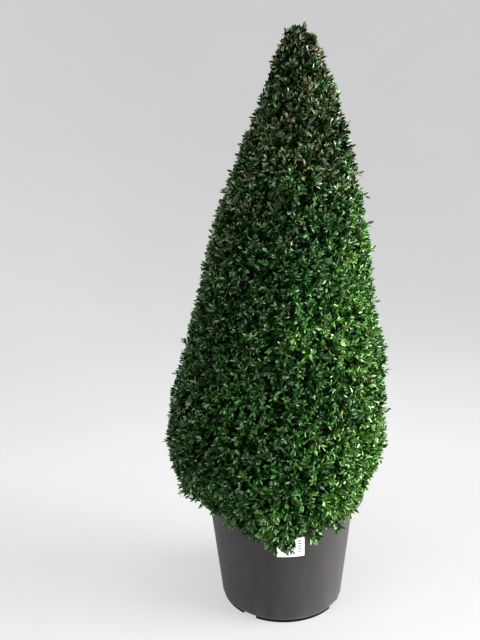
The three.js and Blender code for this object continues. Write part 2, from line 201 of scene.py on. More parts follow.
def addNode(tree, kind, settings=None, sockets=None):
    node = tree.nodes.new(kind)
    for name, value in (settings or {}).items():
        setattr(node, name, value)
    for name, value in (sockets or {}).items():
        feed(tree, node.inputs[name], value)
    return node.outputs


def newGroup(name, inputs):
    group = bpy.data.node_groups.new(name, "ShaderNodeTree")
    for label, value in inputs.items():
        kind = "NodeSocketColor" if isinstance(value, tuple) else "NodeSocketFloat"
        group.interface.new_socket(label, in_out="INPUT", socket_type=kind).default_value = value
    return group, addNode(group, "NodeGroupInput")


def giveOut(group, **results):
    for label, result in results.items():
        kind = "NodeSocketColor" if result.type == "RGBA" else "NodeSocketFloat"
        group.interface.new_socket(label, in_out="OUTPUT", socket_type=kind)
    addNode(group, "NodeGroupOutput", sockets=results)
    return group


def useGroup(tree, group, **values):
    return addNode(tree, "ShaderNodeGroup", {"node_tree": group}, {
        label.replace("_", " "): value for label, value in values.items()})


def maths(tree, operation, first, second):
    return addNode(tree, "ShaderNodeMath", {"operation": operation}, {0: first, 1: second})[0]


def between(tree, mask, low, high):
    return addNode(tree, "ShaderNodeMapRange", sockets={"Value": mask, "To Min": low, "To Max": high})[0]


def fade(tree, value, fromMin, fromMax, toMin=0.0, toMax=1.0):
    return addNode(tree, "ShaderNodeMapRange", {"interpolation_type": "SMOOTHSTEP"}, {
        "Value": value, "From Min": fromMin, "From Max": fromMax, "To Min": toMin, "To Max": toMax})[0]


def mixColours(tree, mask, first, second):
    return addNode(tree, "ShaderNodeMix", {"data_type": "RGBA"}, {"Factor": mask, 6: first, 7: second})[2]


def objectPlace(tree):
    return addNode(tree, "ShaderNodeTexCoord")["Object"]


def objectParts(tree):
    return addNode(tree, "ShaderNodeSeparateXYZ", sockets={"Vector": objectPlace(tree)})


def stretchedPlace(group, stretch):
    # the place squeezed along Z, so that a pattern on it is drawn out upright
    parts = objectParts(group)
    tall = maths(group, "DIVIDE", parts["Z"], stretch)
    return addNode(group, "ShaderNodeCombineXYZ", sockets={"X": parts["X"], "Y": parts["Y"], "Z": tall})[0]


def mottleGroup():
    # soft patches of two colours, stretched upright by Stretch, with a mask of where they lie
    group, start = newGroup("mottle", {
        "Scale": 20.0, "Stretch": 1.0, "Contrast": 0.3,
        "Colour A": (0.1, 0.1, 0.1, 1), "Colour B": (0.2, 0.2, 0.2, 1)})
    blotches = addNode(group, "ShaderNodeTexNoise", sockets={
        "Vector": stretchedPlace(group, start["Stretch"]), "Scale": start["Scale"],
        "Detail": 5.0, "Roughness": 0.6})
    low, high = (maths(group, kind, 0.5, start["Contrast"]) for kind in ("SUBTRACT", "ADD"))
    mask = fade(group, blotches["Fac"], low, high)
    return giveOut(group, Colour=mixColours(group, mask, start["Colour A"], start["Colour B"]), Mask=mask)


def speckGroup():
    # small grains thinly strewn over a surface
    group, start = newGroup("specks", {"Scale": 300.0, "Size": 0.2, "Share": 0.3})
    cells = addNode(group, "ShaderNodeTexVoronoi", sockets={
        "Vector": objectPlace(group), "Scale": start["Scale"]})
    near = maths(group, "LESS_THAN", cells["Distance"], start["Size"])
    chance = addNode(group, "ShaderNodeSeparateColor", sockets={"Color": cells["Color"]})[0]
    chosen = maths(group, "LESS_THAN", chance, start["Share"])
    return giveOut(group, Mask=maths(group, "MULTIPLY", near, chosen))


def grainGroup():
    # the height of a fine, even grain, for a Bump node
    group, start = newGroup("grain", {"Scale": 400.0, "Stretch": 1.0, "Detail": 3.0})
    fine = addNode(group, "ShaderNodeTexNoise", sockets={
        "Vector": stretchedPlace(group, start["Stretch"]), "Scale": start["Scale"],
        "Detail": start["Detail"]})
    return giveOut(group, Height=fine["Fac"])


mottle, specks, grain = mottleGroup(), speckGroup(), grainGroup()


def newMaterial(name):
    made = bpy.data.materials.new(name)
    made.use_nodes = True
    return made, made.node_tree


def finishMaterial(made, sockets, mask, roughness, relief=None, strength=0.0, depth=0.0):
    # its roughness goes from one value to the other with the mask, and relief is its grain
    tree = made.node_tree
    sockets["Roughness"] = between(tree, mask, *roughness)
    if relief:
        height = useGroup(tree, grain, **relief)["Height"]
        sockets["Normal"] = addNode(tree, "ShaderNodeBump", sockets={
            "Strength": strength, "Distance": depth, "Height": height})[0]
    for label, value in sockets.items():
        feed(tree, tree.nodes["Principled BSDF"].inputs[label], value)
    return made


# ---- pot

plastic = {
    "specular": 0.22, "roughness": (0.40, 0.56),
    "darker": (0.044, 0.0422, 0.0415, 1), "lighter": (0.052, 0.050, 0.049, 1),
    "film": (0.17, 0.155, 0.135, 1), "filmHeight": 0.05, "filmHighUp": 0.04, "filmLowDown": 0.12,
    "dust": (0.24, 0.22, 0.19, 1),
    # painted highlight: a pale band along the heel's rounded edge
    "paintedHighlight": (0.15, 0.145, 0.14, 1), "paintedHighlightTop": 0.0105, "paintedHighlightFoot": 0.0080, "paintedHighlightShare": 0.45,
    # painted shade: the recessed foot under the heel is coloured nearly black
    "paintedShade": (0.004, 0.004, 0.004, 1), "paintedShadeTop": 0.0066, "paintedShadeFoot": 0.0060, "paintedShadeShare": 0.92,
}


def potPlastic():
    made, tree = newMaterial("potPlastic")
    shown = useGroup(tree, mottle, Scale=26.0, Stretch=2.5, Contrast=0.28,
                     Colour_A=plastic["darker"], Colour_B=plastic["lighter"])["Colour"]
    dusty = useGroup(tree, mottle, Scale=70.0, Stretch=4.0, Contrast=0.16)["Mask"]
    dust = useGroup(tree, specks, Scale=420.0, Size=0.16, Share=0.035)["Mask"]
    height = objectParts(tree)["Z"]
    lowDown = fade(tree, height, plastic["filmHeight"], 0.0, plastic["filmHighUp"], plastic["filmLowDown"])
    shown = mixColours(tree, maths(tree, "MULTIPLY", dusty, lowDown), shown, plastic["film"])
    shown = mixColours(tree, dust, shown, plastic["dust"])
    # painted highlight: a pale band along the heel's rounded edge; painted shade: the recessed foot under it
    # is nearly black
    for paintedBand in ("paintedHighlight", "paintedShade"):
        top, foot, most = (plastic[paintedBand + part] for part in ("Top", "Foot", "Share"))
        shown = mixColours(tree, fade(tree, height, top, foot, 0.0, most), shown, plastic[paintedBand])
    return finishMaterial(made, {"Base Color": shown, "Specular IOR Level": plastic["specular"]},
                          dusty, plastic["roughness"], {"Scale": 900.0, "Detail": 2.0}, 0.25, 0.0003)


pot = {
    "sides": 128, "height": 0.226, "footRadius": 0.1195, "footHeight": 0.006,
    "heelRadius": 0.1222, "heelHeight": 0.009, "heelInset": 0.0005, "heelSteps": 6,
    "topRadius": 0.1448, "wallTop": 0.206, "wall": 0.0026, "floor": 0.009, "shoulder": 0.003,
    "rimRadius": 0.165, "rimDrop": 0.010, "softEdge": 0.0005, "softFromDeg": 50, "smoothDeg": 35,
    "slots": {"count": 4, "firstDeg": -35, "widthDeg": 14, "depth": 0.009, "height": 0.0056, "over": 0.003},
    "holes": {"count": 6, "radius": 0.007, "circle": 0.074, "sides": 32},
}


def wallRadius(height):
    share = (height - pot["heelHeight"]) / (pot["wallTop"] - pot["heelHeight"])
    return pot["heelRadius"] + (pot["topRadius"] - pot["heelRadius"]) * share


def potProfile():
    foot, heelFoot = pot["footRadius"], pot["footRadius"] + pot["heelInset"]
    profile = [(0, 0), (foot, 0), (foot, pot["footHeight"])]
    for step in range(pot["heelSteps"] + 1):
        turn = step / pot["heelSteps"] * math.pi / 2
        profile.append((heelFoot + (pot["heelRadius"] - heelFoot) * math.sin(turn),
                        pot["heelHeight"] - (pot["heelHeight"] - pot["footHeight"]) * math.cos(turn)))
    rim, wall, lip, top = pot["rimRadius"], pot["wall"], pot["height"] - pot["rimDrop"], pot["height"]
    neck = pot["topRadius"] + pot["shoulder"]
    profile += [
        (pot["topRadius"], pot["wallTop"]), (neck, lip), (neck + 0.0012, top - 2.2 * wall),
        (rim - 2.6 * wall, top - 1.7 * wall), (rim - 1.4 * wall, top - 2.2 * wall),  # under the rim
        (rim - wall, lip), (rim - 0.4 * wall, lip - 0.0002), (rim, lip + 0.0008),  # round the lip
        (rim, top - 0.0030), (rim - 0.0007, top - 0.0011), (rim - 0.0026, top - 0.0001),
        (rim - 0.0060, top), (neck + 0.0015, top), (neck - 0.0008, top - 0.0006),
        (pot["topRadius"], top - 0.0026),
    ]
    innerHeel = pot["heelHeight"] + pot["floor"]
    profile += [
        (pot["topRadius"] - wall, pot["wallTop"]), (wallRadius(innerHeel) - wall, innerHeel),
        (foot, pot["floor"]), (0, pot["floor"]),
    ]
    return profile


def potCutters():
    cutters, slots, holes = [], pot["slots"], pot["holes"]
    inner, outer = pot["footRadius"] - slots["depth"], pot["footRadius"] + slots["over"]
    reach = (inner + outer) / 2
    for number in range(slots["count"]):
        turn = math.radians(slots["firstDeg"]) + number * 2 * math.pi / slots["count"]
        letGo()
        bpy.ops.mesh.primitive_cube_add(
            size=1, location=(reach * math.sin(turn), -reach * math.cos(turn), 0), rotation=(0, 0, turn),
            scale=(math.radians(slots["widthDeg"]) * pot["footRadius"], outer - inner, 2 * slots["height"]))
        cutters.append(settle(bpy.context.object))
    for number in range(holes["count"]):
        turn = number * 2 * math.pi / holes["count"]
        letGo()
        bpy.ops.mesh.primitive_cylinder_add(
            vertices=holes["sides"], radius=holes["radius"], depth=4 * pot["floor"],
            location=(holes["circle"] * math.sin(turn), -holes["circle"] * math.cos(turn), pot["floor"] / 2))
        cutters.append(settle(bpy.context.object))
    return joinAll("cutters", cutters)


def makePot():
    piece = lathe("nurseryPot", potProfile(), pot["sides"])
    cutters = potCutters()
    finishWith(piece, "BOOLEAN", object=cutters, operation="DIFFERENCE", solver="EXACT")
    bpy.data.objects.remove(cutters)
    finishWith(piece, "BEVEL", width=pot["softEdge"], segments=2, limit_method="ANGLE",
               angle_limit=math.radians(pot["softFromDeg"]))
    return cover(piece, potPlastic(), pot["smoothDeg"])


nurseryPot = makePot()
hand(nurseryPot, "pot_plastic", "pot")


# ---- sticker

sticker = {
    "width": 0.0505, "height": 0.0402, "bottom": 0.1485, "azimuthDeg": 3.5,
    "corner": 0.0012, "gap": 0.0004, "thickness": 0.00025, "smoothDeg": 40,
    "paper": (0.84, 0.84, 0.83, 1), "worn": (0.78, 0.78, 0.765, 1), "ink": (0.17, 0.17, 0.18, 1),
    "barsLeft": 0.0218, "barsRight": 0.0288, "barsBottom": 0.1545, "barsTop": 0.1845,
    "barPitch": 0.0027, "barGap": 0.0011,
}


def labelPaper():
    made, tree = newMaterial("labelPaper")
    tone = useGroup(tree, mottle, Scale=60.0, Colour_A=sticker["paper"], Colour_B=sticker["worn"])
    parts = objectParts(tree)
    # a column of plain grey bars near the right edge
    rows = maths(tree, "PINGPONG", parts["Z"], sticker["barPitch"])
    ink = maths(tree, "GREATER_THAN", rows, sticker["barGap"])
    for axis, low, high in (("X", "barsLeft", "barsRight"), ("Z", "barsBottom", "barsTop")):
        ink = maths(tree, "MULTIPLY", ink, maths(tree, "GREATER_THAN", parts[axis], sticker[low]))
        ink = maths(tree, "MULTIPLY", ink, maths(tree, "LESS_THAN", parts[axis], sticker[high]))
    shown = mixColours(tree, ink, tone["Colour"], sticker["ink"])
    return finishMaterial(made, {"Base Color": shown, "Specular IOR Level": 0.4},
                          ink, (0.42, 0.6), {"Scale": 1500.0}, 0.15, 0.0001)


def makeSticker():
    middle = sticker["bottom"] + sticker["height"] / 2
    letGo()
    bpy.ops.mesh.primitive_grid_add(
        x_subdivisions=18, y_subdivisions=6, size=1, rotation=(math.pi / 2, 0, 0),
        location=(wallRadius(middle) * math.sin(math.radians(sticker["azimuthDeg"])), -0.2, middle))
    piece = newest("sticker")
    piece.scale = (sticker["width"], sticker["height"], 1)
    settle(piece)
    corners = [Vector(corner) for corner in piece.bound_box]
    pickVertices(piece, lambda place: min((place - corner).length for corner in corners) < 1e-5)
    bpy.ops.mesh.bevel(offset=sticker["corner"], segments=4, affect="VERTICES", clamp_overlap=False)
    letGo()
    finishWith(piece, "SHRINKWRAP", target=nurseryPot, wrap_method="PROJECT", use_project_y=True,
               use_positive_direction=True, use_negative_direction=True,
               offset=sticker["gap"] + sticker["thickness"])
    finishWith(piece, "SOLIDIFY", thickness=sticker["thickness"], offset=-1)
    return cover(piece, labelPaper(), sticker["smoothDeg"])


hand(makeSticker(), "label", "pot_label")


# ---- potting mix

def mixEarth():
    made, tree = newMaterial("mixEarth")
    tone = useGroup(tree, mottle, Scale=90.0, Contrast=0.25,
                    Colour_A=(0.018, 0.011, 0.007, 1), Colour_B=(0.075, 0.046, 0.027, 1))
    grit = useGroup(tree, specks, Scale=260.0, Size=0.3, Share=0.12)["Mask"]
    shown = mixColours(tree, grit, tone["Colour"], (0.26, 0.21, 0.15, 1))
    return finishMaterial(made, {"Base Color": shown, "Specular IOR Level": 0.25},
                          tone["Mask"], (0.82, 0.98), {"Scale": 320.0, "Detail": 6.0}, 0.8, 0.002)


mix = {
    "sides": 72, "rings": 36, "ground": 0.1995, "edge": 0.190, "flatRadius": 0.044, "slump": 0.6,
    "gap": 0.0009, "floorGap": 0.0005, "footGap": 0.003, "footTop": 0.020, "smoothDeg": 60,
    "clods": 0.0032, "heapScale": 62, "lumpScale": 140, "lumpShare": 0.25, "clodFade": 0.01,
    "crumbs": 900, "crumbSize": 0.0042, "crumbMargin": 0.008, "crumbStand": 0.0008,
    "crumbDent": 0.24, "crumbDentScale": 3.1, "crumbSmoothDeg": 50, "seed": 5,
}


def mixSurface(radius):  # the height of the fill's face
    edge = wallRadius(mix["edge"]) - pot["wall"]
    share = np.clip((edge - radius) / (edge - mix["flatRadius"]), 0, 1)
    return mix["edge"] + (mix["ground"] - mix["edge"]) * share ** mix["slump"]


def makePottingMix():
    inside = lambda height: wallRadius(height) - pot["wall"] - mix["gap"]
    bottom, footTop = pot["floor"] + mix["floorGap"], mix["footTop"]
    edge, rings = inside(mix["edge"]), mix["rings"]
    profile = [(0, bottom), (pot["footRadius"] - mix["footGap"], bottom),
               (inside(footTop), footTop), (edge, mix["edge"])]
    for ring in range(1, rings):
        radius = edge * (1 - ring / rings)
        profile.append((radius, float(mixSurface(radius))))
    profile.append((0, mix["ground"]))
    piece = lathe("pottingMix", profile, mix["sides"])

    def clods(place, normal):
        if place.z < mix["edge"] - 0.001:
            return Vector((0, 0, 0))
        ease = min(1, max(0, (edge - math.hypot(place.x, place.y)) / mix["clodFade"]))
        heap = noise.fractal(place * mix["heapScale"], 1.0, 2.1, 4, noise_basis="PERLIN_ORIGINAL")
        lump = noise.cell(place * mix["lumpScale"]) - 0.5
        return Vector((0, 0, mix["clods"] * ease * (heap + mix["lumpShare"] * lump)))

    return cover(moveEach(piece, clods), mixEarth(), mix["smoothDeg"])


def makeCrumbs():
    # one clod is shaped from a ball and copied all over the fill, each copy turned and sized anew
    letGo()
    bpy.ops.mesh.primitive_ico_sphere_add(subdivisions=1, radius=0.5)
    dent, dentScale = mix["crumbDent"], mix["crumbDentScale"]
    clod = moveEach(newest("clod"), lambda place, normal: normal * dent * noise.noise(place * dentScale))
    base, faces = cornersAndFaces(clod)
    rng = np.random.default_rng(mix["seed"])
    count = mix["crumbs"]
    radius = (wallRadius(mix["edge"]) - mix["crumbMargin"]) * np.sqrt(rng.random(count))
    turn = rng.random(count) * 2 * np.pi
    size = mix["crumbSize"] * (0.35 + rng.random(count) ** 2)
    height = mixSurface(radius) + mix["crumbStand"]
    middle = np.stack([radius * np.cos(turn), radius * np.sin(turn), height], 1)
    spins = rng.random((count, 3)) * 2 * np.pi
    places = []
    for number in range(count):
        shape = Matrix.Rotation(spins[number, 0], 3, "X") @ Matrix.Rotation(spins[number, 1], 3, "Z")
        stretch = np.array([1.0, 0.6 + 0.8 * rng.random(), 0.5 + 0.4 * rng.random()])
        places.append((base * stretch) @ np.array(shape).T * size[number] + middle[number])
    return cover(joinedCopies("mixCrumbs", np.array(places), faces), mixEarth(), mix["crumbSmoothDeg"])


hand(makePottingMix(), "potting_mix", "potting_mix")
hand(makeCrumbs(), "potting_mix")


# ---- the plant's own frame, and where its limbs run

plant = {"footX": -0.0167, "lean": 0.0585, "ground": 0.200, "fork": 0.244}
stem = {
    "radius": 0.0155, "flare": 0.75, "flareHeight": 0.013, "buttress": 0.3, "buttresses": 5,
    "forkSwell": 0.0055, "swellFrom": 0.4, "steps": 12,
    "dome": [(-0.004, 0.0205), (0.001, 0.0195), (0.005, 0.014), (0.008, 0.006)],  # over the fork, radius
}
boughs = {
    "around": 4, "firstDeg": 35, "ring": 0.014, "radius": 0.006, "tip": 0.0036, "bendHeight": 0.036,
    "reach": 0.112, "rise": 0.150, "uneven": 0.012, "steps": 18, "swell": (1.2, 1.08),
    "leaderRadius": 0.0074, "leaderTip": 0.0024, "leaderTop": 1.040, "leaderSteps": 40,
}


def polar(radius, azimuth, height):  # azimuth 0 is the front, 90 degrees is +X
    return np.stack(np.broadcast_arrays(radius * np.sin(azimuth), -radius * np.cos(azimuth), height), -1)


def leaning(places):  # from the plant's upright frame to the pot's
    moved = np.array(places, float)
    moved[..., 0] += plant["footX"] + plant["lean"] * (moved[..., 2] - plant["ground"])
    return moved


def smoothstep(value, low, high):
    share = np.clip((value - low) / (high - low), 0, 1)
    return share * share * (3 - 2 * share)


def unit(vectors):
    return vectors / np.maximum(np.linalg.norm(vectors, axis=-1, keepdims=True), 1e-9)


def curveAt(share, start, bend, end):
    start, bend, end = (np.asarray(place, float)[..., None, :] for place in (start, bend, end))
    return (1 - share) ** 2 * start + 2 * share * (1 - share) * bend + share ** 2 * end


def curveThrough(start, bend, end, steps):
    return curveAt(np.linspace(0, 1, steps)[:, None], start, bend, end)


def boughPath(number, steps):
    if number == 0:
        return np.linspace(polar(0, 0, plant["fork"]), polar(0, 0, boughs["leaderTop"]), steps)
    azimuth = math.radians(boughs["firstDeg"]) + (number - 1) * 2 * math.pi / boughs["around"]
    start = polar(boughs["ring"], azimuth, plant["fork"])
    bend = polar(boughs["ring"], azimuth, plant["fork"] + boughs["bendHeight"])
    end = polar(boughs["reach"], azimuth, plant["fork"] + boughs["rise"] + boughs["uneven"] * (number % 3))
    return curveThrough(start, bend, end, steps)


def boughRadii(number, steps):
    if number == 0:
        return np.linspace(boughs["leaderRadius"], boughs["leaderTip"], steps)
    return np.linspace(boughs["radius"], boughs["tip"], steps)


# ---- stem and boughs, with the bark's relief

def bark(name, light, dark, fissures):
    made, tree = newMaterial(name)
    tone = useGroup(tree, mottle, Scale=130.0, Stretch=3.5, Contrast=0.2, Colour_A=dark, Colour_B=light)
    lichen = useGroup(tree, mottle, Scale=34.0, Contrast=0.07)["Mask"]
    shown = mixColours(tree, maths(tree, "MULTIPLY", lichen, 0.3), tone["Colour"], (0.20, 0.22, 0.13, 1))
    furrows = {"Scale": fissures, "Stretch": 4.0, "Detail": 5.0}
    return finishMaterial(made, {"Base Color": shown, "Specular IOR Level": 0.3},
                          tone["Mask"], (0.9, 0.7), furrows, 0.7, 0.001)


barkRelief = {
    "voxel": 0.0014, "overlap": 0.012, "ridge": 0.00066, "ridgeLevel": 1.1, "ridgeScale": (190, 190, 42),
    "fine": 0.0004, "fineScale": (520, 520, 190), "fading": 0.6, "fadeRange": (0.04, 0.12),
    "smoothDeg": 80,
}


def drawnLimb(name, path, radii):
    # a bevelled curve whose radius changes along it, made a mesh
    curve = bpy.data.curves.new(name, "CURVE")
    curve.dimensions, curve.bevel_depth, curve.bevel_resolution = "3D", 1.0, 6
    curve.use_fill_caps = True
    line = curve.splines.new("POLY")
    line.points.add(len(path) - 1)
    for point, place, radius in zip(line.points, path, radii):
        point.co = (*place, 1)
        point.radius = radius
    take(newObject(name, curve))
    bpy.ops.object.convert(target="MESH")
    return bpy.context.object


def stemRadius(height):
    along = height / (plant["fork"] - plant["ground"])
    flare = stem["flare"] * np.exp(-height / stem["flareHeight"])
    return stem["radius"] * (1 + flare) + stem["forkSwell"] * smoothstep(along, stem["swellFrom"], 1)


def makeStem():
    heights = np.linspace(0, plant["fork"] - plant["ground"], stem["steps"])
    trunkPath = leaning(polar(0, 0, plant["ground"] + heights))
    parts = [drawnLimb("trunkPart", trunkPath, stemRadius(heights))]
    # a low dome closes the fork
    rises, radii = np.array(stem["dome"]).T
    parts.append(drawnLimb("forkPart", leaning(polar(0, 0, plant["fork"] + rises)), radii))
    for number in range(boughs["around"] + 1):
        steps = boughs["steps" if number else "leaderSteps"]
        path = boughPath(number, steps)
        # they start inside the fork, and swell where they leave it
        below = path[0] + (path[0] - path[1]) / np.linalg.norm(path[0] - path[1]) * barkRelief["overlap"]
        radii = boughRadii(number, steps)
        radii[:2] *= boughs["swell"]
        path = np.concatenate([below[None], path])
        parts.append(drawnLimb(f"limb{number}", leaning(path), np.concatenate([[radii[0]], radii])))
    piece = joinAll("stemAndBoughs", parts)
    finishWith(piece, "REMESH", mode="VOXEL", voxel_size=barkRelief["voxel"])
    finishWith(piece, "SMOOTH", factor=0.5, iterations=3)

    def relief(place, normal):
        height = place.z - plant["ground"]
        axis = plant["footX"] + plant["lean"] * height
        flare = math.exp(-max(0, height) / stem["flareHeight"])
        turn = math.atan2(place.y, place.x - axis)
        move = stem["radius"] * stem["flare"] * flare * stem["buttress"] * math.cos(stem["buttresses"] * turn)
        # long furrows on the old wood, fading out on the boughs
        aged = 1 - barkRelief["fading"] * float(smoothstep(height, *barkRelief["fadeRange"]))
        ridges = noise.ridged_multi_fractal(place * Vector(barkRelief["ridgeScale"]), 1.0, 2.1, 3, 1.0, 2.0)
        fine = noise.noise(place * Vector(barkRelief["fineScale"]))
        move += aged * (barkRelief["ridge"] * (ridges - barkRelief["ridgeLevel"]) + barkRelief["fine"] * fine)
        side = Vector((normal.x, normal.y, 0.3 * normal.z))
        return side * move if height > 0.0006 else Vector((side.x, side.y, 0)) * move

    moveEach(piece, relief)
    moveEach(piece, lambda place, normal: Vector((0, 0, max(0, plant["ground"] + 0.0002 - place.z))))
    oldBark = bark("oldBark", (0.30, 0.26, 0.19, 1), (0.11, 0.088, 0.062, 1), 300.0)
    return cover(piece, oldBark, barkRelief["smoothDeg"])


hand(makeStem(), "bark", "trunk", "bough_leader", *(f"bough_{number}" for number in range(1, 5)))


# ---- the crown's clipped face

crown = {
    "top": 1.098, "widest": 0.340, "radius": 0.213, "fullness": 1.5, "roundness": 0.82,
    "skirt": 0.238, "skirtRadius": 0.178, "skirtShape": 1.7,
    "lump": 0.0025, "waves": [(2, 0.118, 0.0, 1.0), (3, -0.071, 1.3, 1.0), (5, 0.047, 4.1, 0.7)],
    # the lobes: azimuth, spread, rise, out
    "lobes": [(3, 10, -0.012, 0.003), (13, 32, -0.023, 0.016), (80, 24, 0.012, -0.004),
              (185, 50, -0.005, 0.010), (303, 34, 0.025, 0.0)],
    # the face's lobes: azimuth, height, out
    "faceSpreadDeg": 55, "faceSpreadUp": 0.075,
    "faceLobes": [(90, 0.400, -0.005), (90, 0.640, -0.009), (90, 0.880, 0.012), (90, 0.990, 0.012),
                  (270, 0.400, 0.003), (270, 0.520, -0.012), (270, 0.640, -0.011), (270, 0.880, -0.009),
                  (270, 0.990, -0.005)],
}
growing = {"rise": 0.42, "hang": 0.85, "hangTo": 0.020, "topReach": 0.230}
goldenAngle = math.pi * (3 - math.sqrt(5))


def crownRadius(height):
    up = np.clip((height - crown["widest"]) / (crown["top"] - crown["widest"]), 0, 1)
    cone = crown["radius"] * (1 - up ** crown["fullness"]) ** crown["roundness"]
    down = np.clip((crown["widest"] - height) / (crown["widest"] - crown["skirt"]), 0, 1)
    skirt = crown["radius"] + (crown["skirtRadius"] - crown["radius"]) * down ** crown["skirtShape"]
    return np.where(height >= crown["widest"], cone, skirt)


def lumps(azimuth, height):
    return crown["lump"] * sum(share * np.sin(times * azimuth + height / rise + start)
                               for times, rise, start, share in crown["waves"])


def apart(azimuth, otherDeg):  # the angle between two azimuths
    turn = azimuth - math.radians(otherDeg)
    return np.arctan2(np.sin(turn), np.cos(turn))


def faceShift(azimuth, height):
    shift = 0
    for lobeDeg, lobeHeight, out in crown["faceLobes"]:
        away = apart(azimuth, lobeDeg) / math.radians(crown["faceSpreadDeg"])
        shift = shift + out * np.exp(-away ** 2 - ((height - lobeHeight) / crown["faceSpreadUp"]) ** 2)
    return shift


def skirtShift(azimuth, height):
    share = 1 - smoothstep(height, crown["skirt"], crown["widest"])
    rise = out = 0
    for lobeDeg, spreadDeg, lobeRise, lobeOut in crown["lobes"]:
        away = apart(azimuth, lobeDeg) / math.radians(spreadDeg)
        weight = share * np.exp(-away ** 2)
        rise, out = rise + weight * lobeRise, out + weight * lobeOut
    return rise, out


def crownPoint(azimuth, height, depth=0):
    rise, out = skirtShift(azimuth, height)
    radius = crownRadius(height) + lumps(azimuth, height) + faceShift(azimuth, height) + out - depth
    return polar(np.maximum(radius, 0), azimuth, height + rise)


def faceTargets(count, low, high, firstTurn, strips=400):
    # spread evenly over the clipped face, each turned from the last by the golden angle
    crowding = branches["crowding"]
    edges = np.linspace(low, high, strips + 1)
    slope = np.hypot(np.diff(edges), np.diff(crownRadius(edges)))
    crowded = 1 + crowding * (1 - smoothstep(edges[:-1], low, crown["widest"]))
    areas = np.concatenate([[0], np.cumsum(crownRadius(edges[:-1]) * slope * crowded)])
    wanted = areas[-1] * (np.arange(count) + 0.5) / count
    return np.arange(count) * goldenAngle + firstTurn, np.interp(wanted, areas, edges)


def growth(azimuth, height, waverTurn, waverRise):
    # which way a shoot grows: out and up, hanging on the skirt, upright at the tip
    hanging = growing["hang"] * (1 - smoothstep(height, crown["skirt"], crown["widest"] - growing["hangTo"]))
    upright = smoothstep(height, crown["top"] - growing["topReach"], crown["top"])
    direction = polar(1 - upright, azimuth + waverTurn, growing["rise"] - hanging + upright)
    direction[..., 2] += (1 - upright) * waverRise
    return unit(direction)


# ---- branches: the leader and boughs feed them, and they feed the finer ones

branches = {
    "count": 100, "under": 0.010, "crowding": 0.9, "depth": 0.060, "climb": 0.75, "sideCost": 0.6,
    "downCost": 10.0, "downFrom": 0.01, "leaderPoints": 60, "boughPoints": 24,
    "bend": (0.45, 0.55), "sag": 0.12, "points": 9, "radius": 0.0021, "tip": 0.0012, "seed": 3,
}
twigs = {
    "count": 900, "below": 0.012, "under": 0.014, "firstTurn": 1.7, "turnLuck": 0.05, "tufts": 0.0040,
    "depth": 0.040, "slimming": 0.45, "slimRange": (0.85, 1.08), "feedFrom": 4, "downCost": 2.0,
    "waverTurn": 0.2, "waverRise": 0.15, "bow": 0.4, "points": 5, "radius": 0.0011, "tip": 0.0007,
}
rng = np.random.default_rng(branches["seed"])


def luck(spread, size):
    return rng.normal(0, spread, size)


def squareTo(along):
    helper = np.where(np.abs(along[..., 2:3]) > 0.9, [1.0, 0.0, 0.0], [0.0, 0.0, 1.0])
    return unit(np.cross(along, helper))


def nearest(places, points):  # the number of the point that is nearest to each place
    return np.array([np.argmin(np.linalg.norm(points - place, axis=1)) for place in places])


def tubes(name, paths, kind, sides, made):
    # closed round twigs along many paths at once: paths is copies x points x 3
    copies, points = paths.shape[:2]
    radii = np.linspace(kind["radius"], kind["tip"], points)[None].repeat(copies, 0)
    along = unit(np.gradient(paths, axis=1))
    across = squareTo(along)
    second = np.cross(along, across)
    turns = np.arange(sides) * 2 * np.pi / sides
    ring = np.cos(turns)[:, None] * across[:, :, None] + np.sin(turns)[:, None] * second[:, :, None]
    places = (paths[:, :, None] + radii[:, :, None, None] * ring).reshape(copies, points * sides, 3)
    corners = [(corner, (corner + 1) % sides) for corner in range(sides)]
    last = (points - 1) * sides
    faces = [(low + here, low + beside, low + sides + beside, low + sides + here)
             for low in range(0, last, sides) for here, beside in corners]
    faces += [tuple(reversed(range(sides))), tuple(range(last, last + sides))]
    return joinedCopies(name, places, faces, [made])


branchTurn, branchHeight = faceTargets(
    branches["count"], crown["skirt"], crown["top"] - branches["under"], 0)
branchEnd = crownPoint(branchTurn, branchHeight, branches["depth"])
limbPoints = np.concatenate([boughPath(number, branches["boughPoints" if number else "leaderPoints"])
                             for number in range(boughs["around"] + 1)])


def limbCost(end):  # a branch starts on the leader or a bough, lower down than its end
    gap = limbPoints - end
    flat = np.hypot(gap[:, 0], gap[:, 1])
    return (np.abs(gap[:, 2] + branches["climb"] * flat) + branches["sideCost"] * flat
            + branches["downCost"] * (gap[:, 2] > branches["downFrom"]))


branchStart = limbPoints[[np.argmin(limbCost(end)) for end in branchEnd]]
branchBend = branchStart * branches["bend"][0] + branchEnd * branches["bend"][1]
branchBend[:, 2] -= branches["sag"] * np.linalg.norm(branchEnd - branchStart, axis=1)
branchPaths = curveThrough(branchStart, branchBend, branchEnd, branches["points"])

twigTurn, twigHeight = faceTargets(
    twigs["count"], crown["skirt"] - twigs["below"], crown["top"] - twigs["under"], twigs["firstTurn"])
twigTurn = twigTurn + luck(twigs["turnLuck"], twigs["count"])
twigPush = luck(twigs["tufts"], twigs["count"])  # a tuft stands out or back as one
slimming = 1 - twigs["slimming"] * smoothstep(twigHeight, *twigs["slimRange"])
twigEnd = crownPoint(twigTurn, twigHeight, twigs["depth"] * slimming - twigPush)
feeders = branchPaths[:, twigs["feedFrom"]:].reshape(-1, 3)


def feederCost(end):  # a twig would rather not start above its end
    return np.linalg.norm(feeders - end, axis=1) + twigs["downCost"] * np.maximum(0, feeders[:, 2] - end[2])


twigStart = feeders[[np.argmin(feederCost(end)) for end in twigEnd]]
twigAim = growth(twigTurn, twigHeight, luck(twigs["waverTurn"], twigs["count"]),
                 luck(twigs["waverRise"], twigs["count"]))
twigLength = np.linalg.norm(twigEnd - twigStart, axis=1, keepdims=True)
twigPaths = curveThrough(twigStart, twigEnd - twigAim * twigs["bow"] * twigLength, twigEnd, twigs["points"])

